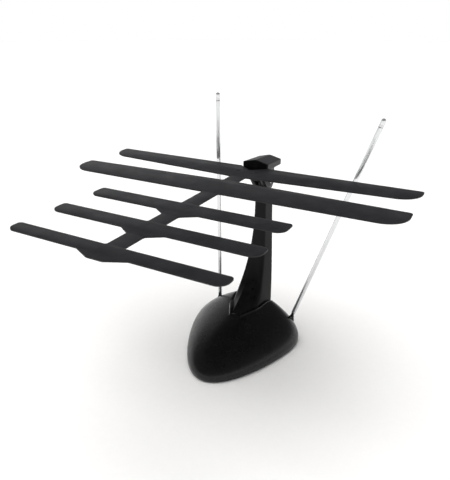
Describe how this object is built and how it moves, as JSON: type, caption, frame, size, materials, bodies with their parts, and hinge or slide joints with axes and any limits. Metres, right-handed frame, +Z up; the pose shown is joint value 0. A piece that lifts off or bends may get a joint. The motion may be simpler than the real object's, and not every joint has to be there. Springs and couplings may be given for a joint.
{
  "type": "rabbit ears antenna",
  "caption": "Indoor television antenna: a weighted dome base and swept mast carry a flat nodding UHF bar array, with two hinged telescopic rods behind it.",
  "frame": {"origin": "on the table under the middle of the base", "axes": "+Z up, -Y towards the nose of the base and the short bars, +X to the right seen from the nose with the long bars along it"},
  "size_m": [0.294, 0.2467, 0.234],
  "materials": {
    "gloss_black": "polished black moulding",
    "satin_black": "satin black moulding",
    "charcoal_plastic": "matt charcoal moulding",
    "charcoal_paint": "aluminium sheet under matt charcoal paint",
    "chrome": "bright chrome plate",
    "steel": "zinc plated",
    "blackened_steel": "oil blackened",
    "brass": "tinned brass",
    "foam_rubber": "fine cell foam",
    "circuit_board": "lacquered board",
    "ferrite": "sintered",
    "white_plastic": "moulded insulator",
    "cable_sheath": "black sheath"
  },
  "bodies": {
    "base": {"base_shell": "gloss_black", "base_cover": "satin_black", "base_pad": "foam_rubber", "ballast_plate": "steel", "board_pad": "foam_rubber", "circuit_board": "circuit_board", "balun_core": "ferrite", "coax_socket": "chrome", "coax_insulator": "white_plastic", "coax_nut": "steel", "cover_screw_1": "steel", "cover_screw_2": "steel", "cover_screw_3": "steel", "mast": "satin_black", "mast_screw_left": "steel", "mast_screw_right": "steel", "feed_lead": "cable_sheath", "tilt_pin": "steel", "left_post": "blackened_steel", "left_post_screw": "steel", "left_solder_tag": "brass", "left_rod_pin": "steel", "left_rod_lead": "cable_sheath", "right_post": "blackened_steel", "right_post_screw": "steel", "right_solder_tag": "brass", "right_rod_pin": "steel", "right_rod_lead": "cable_sheath"},
    "array": {"array_plate": "charcoal_paint", "head_saddle": "satin_black", "head_cap": "charcoal_plastic", "head_screw": "steel", "plate_rivet_left": "charcoal_paint", "plate_rivet_right": "charcoal_paint"},
    "left_rod": {"left_rod_foot": "blackened_steel", "left_tube_1": "chrome"},
    "left_section_2": {"left_tube_2": "chrome"},
    "left_section_3": {"left_tube_3": "chrome"},
    "left_section_4": {"left_tube_4": "chrome", "left_tip": "chrome"},
    "right_rod": {"right_rod_foot": "blackened_steel", "right_tube_1": "chrome"},
    "right_section_2": {"right_tube_2": "chrome"},
    "right_section_3": {"right_tube_3": "chrome"},
    "right_section_4": {"right_tube_4": "chrome", "right_tip": "chrome"}
  },
  "joints": [
    {"name": "array_tilt", "type": "hinge", "parent": "base", "child": "array", "pos_m": [0, 0.06, 0.155], "axis": [1, 0, 0], "range_deg": [-12, 30]},
    {"name": "left_rod_tilt", "type": "hinge", "parent": "base", "child": "left_rod", "pos_m": [-0.0415, 0.0485, 0.019], "axis": [0, -1, 0], "range_deg": [-8, 75]},
    {"name": "left_extend_2", "type": "slide", "parent": "left_rod", "child": "left_section_2", "axis": [-0.007, 0, 1], "range_m": [0, 0.175]},
    {"name": "left_extend_3", "type": "slide", "parent": "left_section_2", "child": "left_section_3", "axis": [-0.007, 0, 1], "range_m": [0, 0.175]},
    {"name": "left_extend_4", "type": "slide", "parent": "left_section_3", "child": "left_section_4", "axis": [-0.007, 0, 1], "range_m": [0, 0.175]},
    {"name": "right_rod_tilt", "type": "hinge", "parent": "base", "child": "right_rod", "pos_m": [0.0415, 0.0485, 0.019], "axis": [0, 1, 0], "range_deg": [-26, 57]},
    {"name": "right_extend_2", "type": "slide", "parent": "right_rod", "child": "right_section_2", "axis": [0.3074, 0, 0.9516], "range_m": [0, 0.175]},
    {"name": "right_extend_3", "type": "slide", "parent": "right_section_2", "child": "right_section_3", "axis": [0.3074, 0, 0.9516], "range_m": [0, 0.175]},
    {"name": "right_extend_4", "type": "slide", "parent": "right_section_3", "child": "right_section_4", "axis": [0.3074, 0, 0.9516], "range_m": [0, 0.175]}
  ],
  "couplings": [
    {"joint": "left_extend_3", "follows": "left_extend_2", "ratio": 1},
    {"joint": "left_extend_4", "follows": "left_extend_2", "ratio": 1},
    {"joint": "right_extend_3", "follows": "right_extend_2", "ratio": 1},
    {"joint": "right_extend_4", "follows": "right_extend_2", "ratio": 1}
  ]
}
